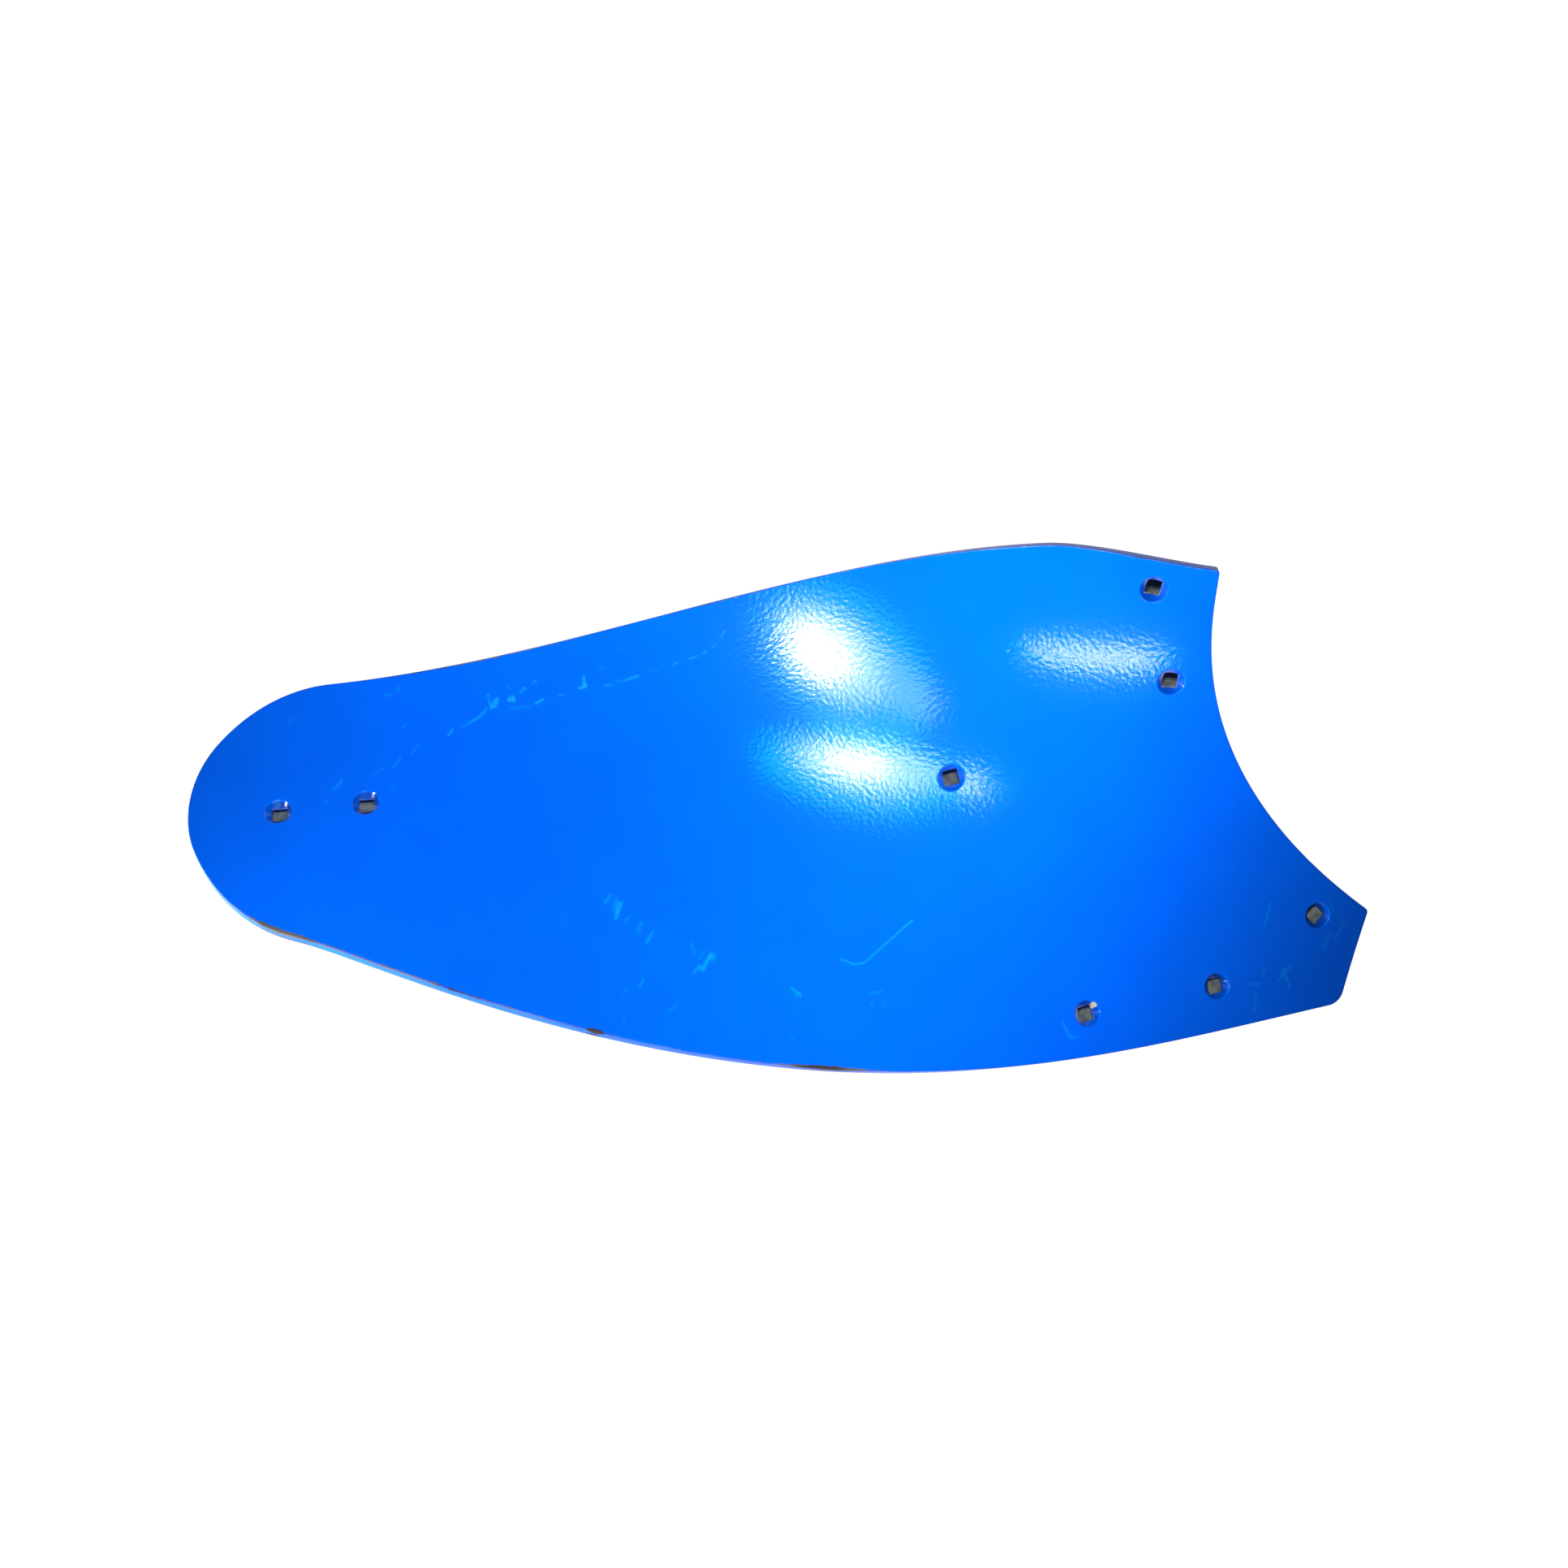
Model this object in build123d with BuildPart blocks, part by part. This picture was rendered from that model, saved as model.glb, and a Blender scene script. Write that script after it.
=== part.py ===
"""Plough mouldboard: one pressed steel plate with eight countersunk square bolt holes.

The plate is drawn with its length along X and its width along Y, and with the
hollow working face, which lifts and turns the furrow slice, towards +Z. It is
then laid on its back as it comes to rest, with the origin on the floor under
the middle of the plate. Sizes are in millimetres and angles in degrees.
"""

from build123d import *
from math import cos, radians, sin
import os

# Sheet
sheet_thickness = 8
edge_rounding = 1

# Pressed form. Each section across the plate is an arc about a line above the
# working face. From the tail to the nose the arc tightens and leans the other
# way, which gives the plate its twist, and the nose bends back. The outermost
# sections stand clear of the plate's ends.
half_length = 600
tail_section_radius = 810
nose_section_radius = 580
middle_lean_angle = 6.5
end_twist_angle = 27
nose_drop = 48
section_half_angle = 30
section_pitch = 100
sections_each_side = 7
press_depth = 400

# Nose end of the outline: share corner, hollow shin seam, breast edge and heel
share_corner_reach = 404
share_corner_height = 197.5
share_corner_radius = 4
shin_share_handle_reach = 408.5
shin_share_handle_height = 171
shin_breast_handle_reach = 376.5
shin_breast_handle_height = 18.5
breast_corner_reach = 597.5
breast_corner_height = -129
breast_corner_radius = 5
heel_reach = 567.5
heel_height = -223.5
heel_radius = 20

# Share edge, one long side of the outline, highest at its crest
crest_reach = 242.5
crest_height = 222.5
crest_front_handle = 41
crest_rear_handle = 235
share_corner_handle_reach = 350
share_corner_handle_height = 204.5
share_shoulder_handle = 246.5

# Wing edge, the other long side, with a full belly
wing_shoulder_handle = 97
wing_belly_handle_reach = 46
wing_belly_handle_height = -337
wing_heel_handle_reach = 237
wing_heel_handle_height = -284

# Rounded tail: an end arc between two wider shoulder arcs
tail_reach = 577
tail_height = -12
tail_end_radius = 89.5
tail_end_start_angle = 145.5
tail_end_sweep_angle = 69.5
share_shoulder_radius = 145
share_shoulder_sweep_angle = 49.5
wing_shoulder_radius = 190
wing_shoulder_sweep_angle = 42.5

# Bolt holes: a countersink for the head and a square for the neck of an M14 plough bolt
head_diameter = 27
head_angle = 90
neck_width = 15
neck_corner_radius = 1.5
cutter_depth = 2 * sheet_thickness

# Bolt hole places, each set out from the corner or end that it stands by, and
# the turn of each square
share_bolt_inset = 57.5
share_bolt_drop = 15.5
share_bolt_turn_angle = -10
shin_bolt_inset = 31.5
shin_bolt_drop = 99.5
shin_bolt_turn_angle = -6
breast_bolt_inset = 56
breast_bolt_drop = 4.5
breast_bolt_turn_angle = 48
heel_bolt_inset = 133
heel_bolt_rise = 20.5
heel_bolt_turn_angle = 10
wing_bolt_pitch = 136
wing_bolt_drop = 23
wing_bolt_turn_angle = 14
frog_bolt_reach = 163.5
frog_bolt_height = 6
frog_bolt_turn_angle = 15
stay_bolt_setback = 88.5
stay_bolt_drop = 14.5
stay_bolt_pitch = 82.5
stay_bolt_rise = 8.5
stay_bolt_turn_angle = 5

# Pose on the floor, and how finely its lowest point is looked for
rest_roll_angle = 3.1
rest_pitch_angle = -2.4
rest_chord_tolerance = 0.1
rest_angle_tolerance = 0.3


def section_plane(reach):
    """Plane across the plate, at the bottom of the section that stands there."""
    nose_share = max(reach / half_length, 0)
    drop = nose_drop * nose_share**3
    return Plane(origin=(reach, 0, -drop), x_dir=(0, 1, 0), z_dir=(1, 0, 0))


def section_radius(reach):
    """Radius of the section, which tightens evenly from the tail to the nose."""
    share = (reach + half_length) / (2 * half_length)
    return tail_section_radius + (nose_section_radius - tail_section_radius) * share


def section_lean(reach):
    """Lean of the section, whose twist eases out towards both ends."""
    share = reach / half_length
    return middle_lean_angle - end_twist_angle * (1.5 * share - 0.5 * share**3)


# Block whose top is the working face, trimmed to the outline
with BuildPart() as press_form:
    for number in range(-sections_each_side, sections_each_side + 1):
        reach = section_pitch * number
        radius = section_radius(reach)
        lean = section_lean(reach)
        with BuildSketch(section_plane(reach)):
            with BuildLine():
                hollow = CenterArc(
                    center=(radius * sin(radians(lean)), radius * cos(radians(lean))),
                    radius=radius,
                    start_angle=270 - lean - section_half_angle,
                    arc_size=2 * section_half_angle,
                )
                Polyline(
                    hollow @ 1,
                    ((hollow @ 1).X, -press_depth),
                    ((hollow @ 0).X, -press_depth),
                    hollow @ 0,
                )
            make_face()
    loft()

    share_corner = Vector(share_corner_reach, share_corner_height)
    breast_corner = Vector(breast_corner_reach, breast_corner_height)
    heel_corner = Vector(heel_reach, heel_height)
    crest = Vector(crest_reach, crest_height)
    with BuildSketch() as outline:
        with BuildLine():
            tail_end = CenterArc(
                center=(tail_end_radius - tail_reach, tail_height),
                radius=tail_end_radius,
                start_angle=tail_end_start_angle,
                arc_size=tail_end_sweep_angle,
            )
            share_shoulder = JernArc(
                start=tail_end @ 0,
                tangent=(tail_end % 0) * -1,
                radius=share_shoulder_radius,
                arc_size=-share_shoulder_sweep_angle,
            )
            wing_shoulder = JernArc(
                start=tail_end @ 1,
                tangent=tail_end % 1,
                radius=wing_shoulder_radius,
                arc_size=wing_shoulder_sweep_angle,
            )
            Bezier(
                share_shoulder @ 1,
                share_shoulder @ 1 + (share_shoulder % 1) * share_shoulder_handle,
                crest - Vector(crest_rear_handle, 0),
                crest,
            )
            Bezier(
                crest,
                crest + Vector(crest_front_handle, 0),
                (share_corner_handle_reach, share_corner_handle_height),
                share_corner,
            )
            Bezier(
                share_corner,
                (shin_share_handle_reach, shin_share_handle_height),
                (shin_breast_handle_reach, shin_breast_handle_height),
                breast_corner,
            )
            Line(breast_corner, heel_corner)
            Bezier(
                heel_corner,
                (wing_heel_handle_reach, wing_heel_handle_height),
                (wing_belly_handle_reach, wing_belly_handle_height),
                wing_shoulder @ 1 + (wing_shoulder % 1) * wing_shoulder_handle,
                wing_shoulder @ 1,
            )
        make_face()
        for corner, corner_radius in (
            (share_corner, share_corner_radius),
            (breast_corner, breast_corner_radius),
            (heel_corner, heel_radius),
        ):
            fillet(outline.vertices().sort_by_distance(corner)[0], radius=corner_radius)
    extrude(amount=press_depth, both=True, mode=Mode.INTERSECT)

working_face = press_form.faces().sort_by_distance((0, 0, 0))[0]

# Where each bolt hole stands, and the turn of its square
heel_bolt_reach = heel_reach - heel_bolt_inset
heel_bolt_height = heel_height + heel_bolt_rise
stay_bolt_reach = stay_bolt_setback - tail_reach
stay_bolt_height = tail_height - stay_bolt_drop
bolt_holes = {
    "share": (
        share_corner_reach - share_bolt_inset,
        share_corner_height - share_bolt_drop,
        share_bolt_turn_angle,
    ),
    "shin": (
        share_corner_reach - shin_bolt_inset,
        share_corner_height - shin_bolt_drop,
        shin_bolt_turn_angle,
    ),
    "breast": (
        breast_corner_reach - breast_bolt_inset,
        breast_corner_height - breast_bolt_drop,
        breast_bolt_turn_angle,
    ),
    "heel": (heel_bolt_reach, heel_bolt_height, heel_bolt_turn_angle),
    "wing": (
        heel_bolt_reach - wing_bolt_pitch,
        heel_bolt_height - wing_bolt_drop,
        wing_bolt_turn_angle,
    ),
    "frog": (frog_bolt_reach, frog_bolt_height, frog_bolt_turn_angle),
    "rear_stay": (stay_bolt_reach, stay_bolt_height, stay_bolt_turn_angle),
    "front_stay": (
        stay_bolt_reach + stay_bolt_pitch,
        stay_bolt_height + stay_bolt_rise,
        stay_bolt_turn_angle,
    ),
}

# The plate: the trimmed face backed with steel, its rims eased, then drilled
with BuildPart() as plate:
    thicken(working_face, amount=-sheet_thickness)
    face_and_back = plate.faces().sort_by(SortBy.AREA)[-2:]
    fillet(face_and_back.edges(), radius=edge_rounding)
    for reach, height, turn in bolt_holes.values():
        plumb_line = Axis((reach, height, press_depth), (0, 0, -1))
        seat_centre, seat_normal = working_face.find_intersection_points(plumb_line)[0]
        seat = Plane(origin=seat_centre, x_dir=(1, 0, 0), z_dir=seat_normal)
        with Locations(seat):
            CounterSinkHole(
                radius=neck_width / 2 - neck_corner_radius,
                counter_sink_radius=head_diameter / 2,
                depth=cutter_depth,
                counter_sink_angle=head_angle,
            )
        with BuildSketch(seat):
            RectangleRounded(neck_width, neck_width, neck_corner_radius, rotation=turn)
        extrude(amount=-cutter_depth, mode=Mode.SUBTRACT)

# Laid on its back. The lowest point of a curved back is no corner, so it is
# looked for on a mesh.
with BuildPart() as lying:
    add(plate.part, rotation=(rest_roll_angle, rest_pitch_angle, 0))
mesh_points, mesh_triangles = lying.part.tessellate(
    rest_chord_tolerance, rest_angle_tolerance
)
floor_level = min(point.Z for point in mesh_points)
middle = lying.part.bounding_box().center()

with BuildPart() as mouldboard:
    with Locations((-middle.X, -middle.Y, -floor_level)):
        add(lying.part)
mouldboard.part.label = "mouldboard"

os.makedirs("parts", exist_ok=True)
export_step(mouldboard.part, "parts/mouldboard.step")
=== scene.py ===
"""Looks of a plough mouldboard: one pressed steel plate in glossy blue paint.

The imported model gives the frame. The plate that shows is a fine copy of its one
node. A flat blank is triangulated with its rounded rims and its countersunk
square holes, and a Geometry Nodes tree presses the blank into the same twisted
form and lays it on the floor. Sizes are in millimetres and angles in degrees in
the classes, and the meshes are in metres.
"""

import logging
import math
from dataclasses import dataclass, field
from enum import Enum
from typing import Any, Iterable, Sequence

import bpy
import numpy as np
from mathutils import Matrix, Vector
from mathutils.geometry import delaunay_2d_cdt

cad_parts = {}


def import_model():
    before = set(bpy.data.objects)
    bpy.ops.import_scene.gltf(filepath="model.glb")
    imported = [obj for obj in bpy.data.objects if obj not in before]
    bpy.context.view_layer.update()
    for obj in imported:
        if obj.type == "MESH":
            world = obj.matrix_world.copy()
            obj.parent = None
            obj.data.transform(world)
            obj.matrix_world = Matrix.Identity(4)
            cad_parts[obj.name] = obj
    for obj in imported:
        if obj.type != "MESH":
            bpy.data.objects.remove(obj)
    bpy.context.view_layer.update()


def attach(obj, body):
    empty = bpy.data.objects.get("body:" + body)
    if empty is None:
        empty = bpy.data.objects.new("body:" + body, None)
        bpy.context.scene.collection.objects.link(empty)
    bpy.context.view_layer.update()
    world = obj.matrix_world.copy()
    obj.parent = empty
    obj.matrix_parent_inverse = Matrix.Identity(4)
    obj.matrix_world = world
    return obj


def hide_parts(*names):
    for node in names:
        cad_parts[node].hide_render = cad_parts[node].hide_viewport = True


LOG = logging.getLogger("mouldboard")
MM = 0.001
Point = tuple[float, float]
Pair = tuple[float, float]
Colour = tuple[float, float, float, float]
WHITE = (1, 1, 1, 1)


def nearest_gap(points: np.ndarray, others: np.ndarray) -> np.ndarray:
    """Distance from each point of the plan to the nearest of the others."""
    return np.array([np.linalg.norm(others - point, axis=1).min() for point in points])


def new_object(name: str, data: bpy.types.ID) -> bpy.types.Object:
    """Makes an object and adds it to the scene."""
    made = bpy.data.objects.new(name, data)
    bpy.context.scene.collection.objects.link(made)
    return made


@dataclass
class PressedForm:
    """The twisted form that the plate is pressed to, and how it lies on the floor.

    Each section across the plate is an arc. From the tail to the nose its radius
    tightens and its lean turns, and the nose bends back.
    """

    half_length: float = 600
    tail_radius: float = 810
    nose_radius: float = 580
    middle_lean: float = 6.5
    end_twist: float = 27
    nose_drop: float = 48
    rest_roll: float = 3.1
    rest_pitch: float = -2.4
    rest_place: tuple[float, float, float] = (-11.1988, 28.1618, 73.1984)
    slope_step: float = 0.5

    def height(self, plan: np.ndarray) -> np.ndarray:
        """Height of the working face above points of the plan.

        Args:
            plan: Points of the plan, one a row.

        Returns:
            One height for each point.
        """
        share = plan[:, 0] / self.half_length
        radius = self.tail_radius + (self.nose_radius - self.tail_radius) * (share + 1) / 2
        lean = np.radians(self.middle_lean - self.end_twist * (1.5 * share - 0.5 * share**3))
        centre_y = radius * np.sin(lean)
        centre_z = radius * np.cos(lean) - self.nose_drop * np.maximum(share, 0) ** 3
        return centre_z - np.sqrt(radius**2 - (plan[:, 1] - centre_y) ** 2)

    def slope(self, plan: np.ndarray) -> np.ndarray:
        """Slope of the working face along X and along Y at points of the plan."""
        step_x = np.array([self.slope_step, 0])
        step_y = np.array([0, self.slope_step])
        rise = [self.height(plan + step) - self.height(plan - step) for step in (step_x, step_y)]
        return np.stack(rise, axis=1) / (2 * self.slope_step)

    def turn(self) -> Matrix:
        """Turn from the pressing frame to the plate as it lies: pitch first, then roll."""
        roll = Matrix.Rotation(math.radians(self.rest_roll), 4, "X")
        pitch = Matrix.Rotation(math.radians(self.rest_pitch), 4, "Y")
        return roll @ pitch

    def place(self) -> Vector:
        """Where the pressing frame's origin comes to lie, in metres."""
        return Vector(self.rest_place) * MM

    def inputs(self) -> dict[str, float]:
        """The form's sizes by name, in metres and radians, as the press takes them."""
        return {
            "Half Length": self.half_length * MM,
            "Tail Radius": self.tail_radius * MM,
            "Nose Radius": self.nose_radius * MM,
            "Middle Lean": math.radians(self.middle_lean),
            "End Twist": math.radians(self.end_twist),
            "Nose Drop": self.nose_drop * MM,
            "Rest Roll": math.radians(self.rest_roll),
            "Rest Pitch": math.radians(self.rest_pitch),
        }


@dataclass
class BoltHole:
    """A countersink for the head of a plough bolt, with a square through it for the neck.

    The mesh has rings down the cone at cone_insets, above its lower edge at lip_gaps
    and lip_edge, and down the wall at wall_drops. back_steps are those at the back of
    the square, outwards and up, with back_rounding as their unit.
    """

    name: str
    centre: Point
    turn: float
    thickness: float = 8
    head_radius: float = 13.5
    half_neck: float = 7.5
    neck_corner: float = 1.5
    mouth_rounding: float = 0.6
    back_rounding: float = 0.3
    surround: float = 16
    side_points: int = 10
    corner_points: int = 5
    mouth_angles: tuple[float, ...] = (90, 105, 120, 135)
    cone_insets: Pair = (1.2, 1.8)
    lip_gaps: Pair = (0.8, 0.35)
    lip_edge: Pair = (0.07, 0.05)
    wall_drops: Pair = (0.35, 0.9)
    back_steps: tuple[Pair, ...] = ((0, 3), (0, 1), (0.3, 0.3), (1, 0), (3, 0))
    chip: float = 0
    chip_turn: float = 50
    chip_reach: float = 3.5

    def chips(self, rings: Sequence[np.ndarray]) -> list[np.ndarray]:
        """How far the paint has chipped off at each point of the hole's rings.

        Args:
            rings: The rings of the hole in the blank.

        Returns:
            For each ring, one share for each point.
        """
        turn = math.radians(self.chip_turn)
        reach = (self.head_radius + self.half_neck) / 2
        spot = np.array(self.centre) + reach * np.array([math.cos(turn), math.sin(turn)])
        gaps = [np.linalg.norm(ring[:, :2] - spot, axis=1) for ring in rings]
        return [self.chip * np.exp(-((gap / self.chip_reach) ** 2)) for gap in gaps]

    def seats(self, rings: Sequence[np.ndarray]) -> list[np.ndarray]:
        """Which rings of the hole lie below its rounded mouth, point by point; there the paint is
        darkened as painted shade and made rougher.
        """
        return [np.full(len(ring), ring[:, 2].min() < -self.mouth_rounding) for ring in rings]

    def neck_outline(self) -> np.ndarray:
        """Points of the square in the seat's plane, once round.

        Returns:
            One point a row, measured from the centre of the hole.
        """
        reach = self.half_neck - self.neck_corner
        points = []
        for quarter in range(4):
            turn = math.radians(90 * quarter + self.turn)
            across = np.array([math.cos(turn), math.sin(turn)])
            along = np.array([-across[1], across[0]])
            for share in np.linspace(-1, 1, self.side_points, endpoint=False):
                points.append(across * self.half_neck + along * reach * share)
            corner = (across + along) * reach
            for share in np.linspace(0, 1, self.corner_points, endpoint=False):
                swing = math.radians(90) * share
                arc = across * math.cos(swing) + along * math.sin(swing)
                points.append(corner + arc * self.neck_corner)
        return np.array(points)

    def profile(self, neck: np.ndarray) -> list[tuple[np.ndarray, np.ndarray]]:
        """Rings of the hole, from its surround on the working face to that on the back.

        Args:
            neck: Distance of the square's wall from the centre, for each point round.

        Returns:
            For each ring, its radii and its depths.
        """
        flat = np.ones_like(neck)
        tangent = self.mouth_rounding * math.tan(math.radians(self.mouth_angles[-1] - 90) / 2)
        rings = [
            (flat * self.surround, flat * 0),
            (flat * (self.head_radius + 2 * self.mouth_rounding), flat * 0),
        ]
        for angle in self.mouth_angles:
            swing = math.radians(angle)
            radius = self.head_radius + tangent + self.mouth_rounding * math.cos(swing)
            depth = self.mouth_rounding * (1 - math.sin(swing))
            rings.append((flat * radius, flat * depth))
        for inset in self.cone_insets:
            rings.append((flat * (self.head_radius - inset), flat * inset))
        wall_top = self.head_radius - neck
        for gap in self.lip_gaps:
            rings.append((neck + gap, wall_top - gap))
        lip_out, lip_up = self.lip_edge
        rings.append((neck + lip_out, wall_top - lip_up))
        for drop in self.wall_drops:
            rings.append((neck, wall_top + drop))
        for out, up in self.back_steps:
            depth = self.thickness - up * self.back_rounding
            rings.append((neck + out * self.back_rounding, flat * depth))
        rings.append((flat * self.surround, flat * self.thickness))
        return rings

    def rings(self, form: PressedForm) -> list[np.ndarray]:
        """Rings of the hole in the blank, set so that they come out true once pressed.

        Args:
            form: The form that the blank is pressed to.

        Returns:
            For each ring, its points as plan X, plan Y and depth.
        """
        outline = self.neck_outline()
        neck = np.linalg.norm(outline, axis=1)
        ray = outline / neck[:, None]
        slope_x, slope_y = form.slope(np.array([self.centre]))[0]
        normal = Vector((-slope_x, -slope_y, 1)).normalized()
        first = (Vector((1, 0, 0)) - normal * normal.x).normalized()
        second = normal.cross(first)
        to_plan = np.array([[first.x, first.y], [second.x, second.y]])
        return [
            np.column_stack([np.array(self.centre) + (ray * radius[:, None]) @ to_plan, -depth])
            for radius, depth in self.profile(neck)
        ]


@dataclass
class Outline:
    """Trimmed edge of the plate in plan, laid out as its maker would draw it."""

    share_corner: Point = (404, 197.5)
    share_corner_radius: float = 4
    shin_share_handle: Point = (408.5, 171)
    shin_breast_handle: Point = (376.5, 18.5)
    breast_corner: Point = (597.5, -129)
    breast_corner_radius: float = 5
    heel: Point = (567.5, -223.5)
    heel_radius: float = 20
    crest: Point = (242.5, 222.5)
    crest_front_handle: float = 41
    crest_rear_handle: float = 235
    share_corner_handle: Point = (350, 204.5)
    share_shoulder_handle: float = 246.5
    wing_shoulder_handle: float = 97
    wing_belly_handle: Point = (46, -337)
    wing_heel_handle: Point = (237, -284)
    tail_reach: float = 577
    tail_height: float = -12
    tail_end_radius: float = 89.5
    tail_end_start: float = 145.5
    tail_end_sweep: float = 69.5
    share_shoulder_radius: float = 145
    share_shoulder_sweep: float = 49.5
    wing_shoulder_radius: float = 190
    wing_shoulder_sweep: float = 42.5
    pitch: float = 3
    corner_gap: float = 0.5
    corner_points: int = 9

    @staticmethod
    def towards(angle: float) -> np.ndarray:
        """Unit vector in the plan at an angle from +X."""
        return np.array([math.cos(math.radians(angle)), math.sin(math.radians(angle))])

    def arc(self, centre: np.ndarray, radius: float, start: float, sweep: float) -> np.ndarray:
        """Points along an arc, about one pitch apart."""
        count = max(2, round(abs(math.radians(sweep)) * radius / self.pitch))
        angles = np.linspace(start, start + sweep, count + 1)
        return np.array([centre + radius * self.towards(angle) for angle in angles])

    def bezier(self, *poles: Iterable[float]) -> np.ndarray:
        """Points along a Bezier curve, about one pitch apart.

        Args:
            poles: The curve's ends and handles, in order.

        Returns:
            One point a row, from the first pole to the last.
        """
        frame = np.array([list(pole) for pole in poles], dtype=float)
        degree = len(frame) - 1
        reach = np.linalg.norm(np.diff(frame, axis=0), axis=1).sum()
        share = np.linspace(0, 1, max(3, round(reach / self.pitch)))[:, None]
        return sum(
            math.comb(degree, index) * (1 - share) ** (degree - index) * share**index * pole
            for index, pole in enumerate(frame)
        )

    def rounded(self, before: np.ndarray, after: np.ndarray, radius: float) -> list[np.ndarray]:
        """Rounds the corner where one run ends and the next begins.

        Args:
            before: Points of the run that ends at the corner.
            after: Points of the run that starts there.
            radius: Radius of the rounding.

        Returns:
            The first run cut short, the points of the rounding, and the next run cut short.
        """
        corner = before[-1]
        come = (corner - before[-2]) / np.linalg.norm(corner - before[-2])
        leave = (after[1] - corner) / np.linalg.norm(after[1] - corner)
        swing = math.acos(float(np.clip(come @ leave, -1, 1)))
        reach = radius * math.tan(swing / 2)
        cut = reach + self.corner_gap
        before = before[np.linalg.norm(before - corner, axis=1) > cut]
        after = after[np.linalg.norm(after - corner, axis=1) > cut]
        side = math.copysign(1, come[0] * leave[1] - come[1] * leave[0])
        inward = side * np.array([-come[1], come[0]])
        centre = corner - come * reach + inward * radius
        start = math.degrees(math.atan2(-inward[1], -inward[0]))
        angles = np.linspace(start, start + side * math.degrees(swing), self.corner_points)
        turn = np.array([centre + radius * self.towards(angle) for angle in angles])
        return [before, turn, after]

    def points(self) -> np.ndarray:
        """Points of the whole outline, once round and anticlockwise."""
        end_centre = np.array([self.tail_end_radius - self.tail_reach, self.tail_height])
        end_stop = self.tail_end_start + self.tail_end_sweep
        tail_end = self.arc(
            end_centre, self.tail_end_radius, self.tail_end_start, self.tail_end_sweep
        )
        share_shift = self.tail_end_radius - self.share_shoulder_radius
        share_centre = end_centre + share_shift * self.towards(self.tail_end_start)
        share_stop = self.tail_end_start - self.share_shoulder_sweep
        share_shoulder = self.arc(
            share_centre, self.share_shoulder_radius, share_stop, self.share_shoulder_sweep
        )
        wing_shift = self.tail_end_radius - self.wing_shoulder_radius
        wing_centre = end_centre + wing_shift * self.towards(end_stop)
        wing_shoulder = self.arc(
            wing_centre, self.wing_shoulder_radius, end_stop, self.wing_shoulder_sweep
        )
        crest = np.array(self.crest)
        share_tangent = self.towards(share_stop - 90)
        wing_tangent = self.towards(end_stop + self.wing_shoulder_sweep + 90)
        wing_edge = self.bezier(
            wing_shoulder[-1],
            wing_shoulder[-1] + wing_tangent * self.wing_shoulder_handle,
            self.wing_belly_handle,
            self.wing_heel_handle,
            self.heel,
        )
        breast_edge = self.bezier(self.heel, self.breast_corner)
        shin_seam = self.bezier(
            self.breast_corner, self.shin_breast_handle, self.shin_share_handle, self.share_corner
        )
        share_front = self.bezier(
            self.share_corner,
            self.share_corner_handle,
            crest + (self.crest_front_handle, 0),
            crest,
        )
        share_rear = self.bezier(
            crest,
            crest - (self.crest_rear_handle, 0),
            share_shoulder[0] + share_tangent * self.share_shoulder_handle,
            share_shoulder[0],
        )
        wing_edge, heel_turn, breast_edge = self.rounded(wing_edge, breast_edge, self.heel_radius)
        breast_edge, breast_turn, shin_seam = self.rounded(
            breast_edge, shin_seam, self.breast_corner_radius
        )
        shin_seam, share_turn, share_front = self.rounded(
            shin_seam, share_front, self.share_corner_radius
        )
        wing_side = [tail_end[:-1], wing_shoulder[:-1], wing_edge, heel_turn]
        nose = [breast_edge, breast_turn, shin_seam, share_turn]
        share_side = [share_front[:-1], share_rear[:-1], share_shoulder[:-1]]
        return np.concatenate(wing_side + nose + share_side)


@dataclass(frozen=True)
class Mark:
    """A scratch or scuff in the paint, along a path in plan."""

    path: tuple[Point, ...]
    strength: float = 0.5
    half_width: float = 3
    pitch: float = 2.2

    def run(self) -> np.ndarray:
        """Points along the path, about one pitch apart."""
        path = np.array(self.path, dtype=float)
        reach = np.concatenate([[0], np.cumsum(np.linalg.norm(np.diff(path, axis=0), axis=1))])
        stops = np.linspace(0, reach[-1], max(2, round(reach[-1] / self.pitch) + 1))
        return np.column_stack([np.interp(stops, reach, path[:, k]) for k in range(2)])

    def borders(self) -> np.ndarray:
        """Points beside the path and past its ends, where the paint is whole."""
        run = self.run()
        ahead = np.gradient(run, axis=0)
        ahead *= self.half_width / np.linalg.norm(ahead, axis=1)[:, None]
        beside = np.column_stack([-ahead[:, 1], ahead[:, 0]])
        ends = [run[0] - ahead[0], run[-1] + ahead[-1]]
        return np.concatenate([run + beside, run - beside, ends])


def strokes(*rows: tuple[float, ...], half_width: float = 3) -> tuple[Mark, ...]:
    """Makes straight marks.

    Args:
        rows: For each mark, its start and its end in plan and its strength.
        half_width: Half the width of each mark.

    Returns:
        The marks.
    """
    return tuple(Mark(((x, y), (u, v)), strength, half_width) for x, y, u, v, strength in rows)


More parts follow.
